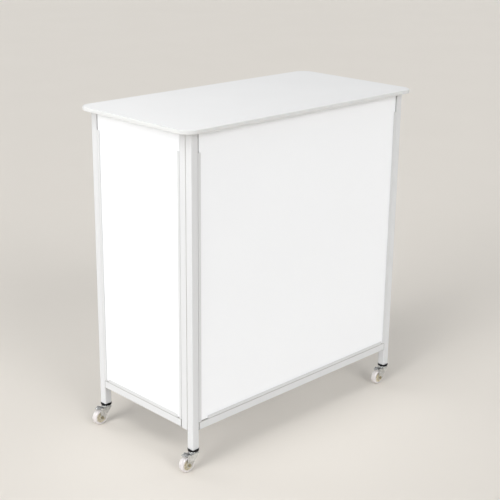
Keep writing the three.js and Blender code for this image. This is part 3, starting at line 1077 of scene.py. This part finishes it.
def edge_band():
    material, place_on = start_look("edge_band_plastic")
    streaks = place_on.noise(300, 2, (0.05, 0.05, 1))
    cloud = place_on.noise(14, 2)
    return set_look(material, {
        "Base Color": (0.5 * cloud + 0.3 * streaks).tint(band_bright, band_dull),
        "Roughness": 0.32 + 0.14 * streaks,
        "Normal": streaks.bump(0.03 * mm, 0.3),
    })


board_low, board_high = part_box("counter_board")
board_size = board_high - board_low
shape = bmesh.new()
core_face = rounded_face(
    shape, board_size.x - 2 * band_thickness, board_size.y - 2 * band_thickness,
    board_corner - band_thickness, board_corner_steps,
)
pull(shape, [core_face], (0, 0, board_size.z))
soften(shape, sharp_edges(shape), laminate_arris, steps=1)
place(shape, Matrix.Translation((0, 0, board_low.z)))
add_piece("counter_board_core", shape, white_laminate(), "counter", "board_laminate", "counter_board")

shape = bmesh.new()
band_face = rounded_face(shape, board_size.x, board_size.y, board_corner, board_corner_steps)
leave_wall(shape, band_face, band_thickness)
pull(shape, shape.faces[:], (0, 0, board_size.z))
bmesh.ops.recalc_face_normals(shape, faces=shape.faces)
straight_x = board_size.x / 2 - board_corner
straight_y = board_size.y / 2 - board_corner
outer_arrises = []
for edge in sharp_edges(shape):
    middle = (edge.verts[0].co + edge.verts[1].co) / 2
    past_straight = Vector((max(abs(middle.x) - straight_x, 0), max(abs(middle.y) - straight_y, 0)))
    if past_straight.length > board_corner - band_thickness / 2:
        outer_arrises.append(edge)
soften(shape, outer_arrises, band_round, steps=5)
place(shape, Matrix.Translation((0, 0, board_low.z)))
add_piece("counter_board_edge_band", shape, edge_band(), "counter", "board_laminate")


# Pegs: fluted birch dowels glued into the underside of the board, which drop into the front legs' caps.
# Their ends are chamfered so that they find the holes.
peg_chamfer = 1 * mm
peg_flutes = 12
peg_flute_depth = 0.25 * mm
peg_points = 4 * peg_flutes
flute_share = 0.1
birch_pale = (0.62, 0.45, 0.26, 1)
birch_dark = (0.46, 0.31, 0.16, 1)


def birch():
    material, place_on = start_look("birch_dowel")
    grain = place_on.noise(260, 4, (1, 1, 0.12))
    return set_look(material, {
        "Base Color": grain.rise(0.3, 0.7).tint(birch_pale, birch_dark),
        "Roughness": 0.55 + 0.2 * grain,
        "Normal": grain.bump(0.1 * mm, 0.5),
    })


dowel = birch()
for side in sides:
    node = f"{side}_peg"
    low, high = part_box(node)
    middle = (low + high) / 2
    end_radius = peg_radius - peg_chamfer
    outline = (
        (end_radius, low.z), (peg_radius, low.z + peg_chamfer),
        (peg_radius, high.z - peg_chamfer), (end_radius, high.z),
    )
    shape = bmesh.new()
    loops = [round_loop(shape, radius, level, peg_points) for radius, level in outline]
    for loop in loops[1:3]:
        for vert in {vert for edge in loop for vert in edge.verts}:
            flute = Vector((1, 0)).angle_signed(vert.co.xy) / (2 * pi / peg_flutes)
            if abs(flute - round(flute)) < flute_share:
                vert.co.xy *= 1 - peg_flute_depth / peg_radius
    loft(shape, loops)
    close_rims(shape, loops[0], loops[-1])
    place(shape, Matrix.Translation((middle.x, middle.y, 0)))
    add_piece(f"{side}_dowel", shape, dowel, "counter", "birch_peg", node)


# The studio: a plain pale floor that runs out of sight, under a backdrop that goes on from the floor's tone.
# Wide lights shine from above left, from the left and from the front, with fills from the right and behind.
# A small soft box over the left end brightens the board.
floor_half_size = 60.0
floor_pale = (0.74, 0.70, 0.645, 1)
floor_deep = (0.72, 0.68, 0.625, 1)
horizon_tone = (0.77, 0.74, 0.685, 1)
overhead_tone = (0.40, 0.407, 0.413, 1)
horizon_height = 0.15
light_spread = radians(30)


def floor_paint():
    material, place_on = start_look("pale_floor")
    cloud = place_on.noise(1.2, 2)
    return set_look(material, {
        "Base Color": cloud.tint(floor_pale, floor_deep),
        "Roughness": 0.75 + 0.1 * cloud,
    })


shape = bmesh.new()
bmesh.ops.create_grid(shape, x_segments=1, y_segments=1, size=floor_half_size)
floor_mesh = bpy.data.meshes.new("floor")
shape.to_mesh(floor_mesh)
shape.free()
floor_mesh.materials.append(floor_paint())
floor = bpy.data.objects.new("floor", floor_mesh)
bpy.context.scene.collection.objects.link(floor)

world = bpy.data.worlds.new("studio")
world.use_nodes = True
height = Shade(world.node_tree).add("TexCoord", output="Generated").along("Z")
backdrop = height.rise(0.0, horizon_height).tint(horizon_tone, overhead_tone)
backdrop.join(world.node_tree.nodes["Background"].inputs["Color"], backdrop)
bpy.context.scene.world = world
bpy.context.scene.view_settings.view_transform = "Standard"


def hang_light(lamp, position, toward):
    """Puts a lamp at a position, shining along a direction."""
    light = bpy.data.objects.new(lamp.name, lamp)
    light.location = position
    light.rotation_euler = toward.to_track_quat("-Z", "Y").to_euler()
    bpy.context.scene.collection.objects.link(light)


def soft_sun(name, source, strength):
    """A wide light from far off, in the direction of its source."""
    lamp = bpy.data.lights.new(name, "SUN")
    lamp.angle = light_spread
    lamp.energy = strength
    hang_light(lamp, (0, 0, 0), -Vector(source))


def soft_box(name, position, target, size, power):
    """A round soft box at a position, aimed at a target."""
    lamp = bpy.data.lights.new(name, "AREA")
    lamp.shape = "DISK"
    lamp.size = size
    lamp.energy = power
    hang_light(lamp, position, Vector(target) - Vector(position))


soft_sun("key", source=(-0.50, -0.05, 0.865), strength=0.57)
soft_sun("left_light", source=(-0.93, -0.12, 0.34), strength=1.32)
soft_sun("front_light", source=(-0.10, -0.86, 0.50), strength=0.92)
soft_sun("right_fill", source=(0.93, -0.25, 0.20), strength=0.8)
soft_sun("back_fill", source=(-0.35, 0.92, 0.20), strength=0.95)
soft_box("left_box", position=(-1.3, 0.0, 2.2), target=(0.0, 0.0, 1.05), size=1.0, power=7)


# The camera stands at the photograph's place, turned a little about its own axis as the picture is.
# Its frame is dropped slightly, because the picture shows more below its optical centre than above it.
camera_place = Vector((-2.4269, -2.4369, 1.6890))
camera_heading = radians(44.773)
camera_dip = radians(17.929)
camera_roll = radians(0.654)
lens = 79.489
sensor = 36.0
frame_drop = -0.02

camera_data = bpy.data.cameras.new("camera")
camera_data.lens = lens
camera_data.sensor_width = sensor
camera_data.shift_y = frame_drop
camera = bpy.data.objects.new("camera", camera_data)
look = Matrix.Rotation(-camera_heading, 4, "Z") @ Matrix.Rotation(pi / 2 - camera_dip, 4, "X")
camera.matrix_world = Matrix.Translation(camera_place) @ look @ Matrix.Rotation(camera_roll, 4, "Z")
bpy.context.scene.collection.objects.link(camera)
bpy.context.scene.camera = camera
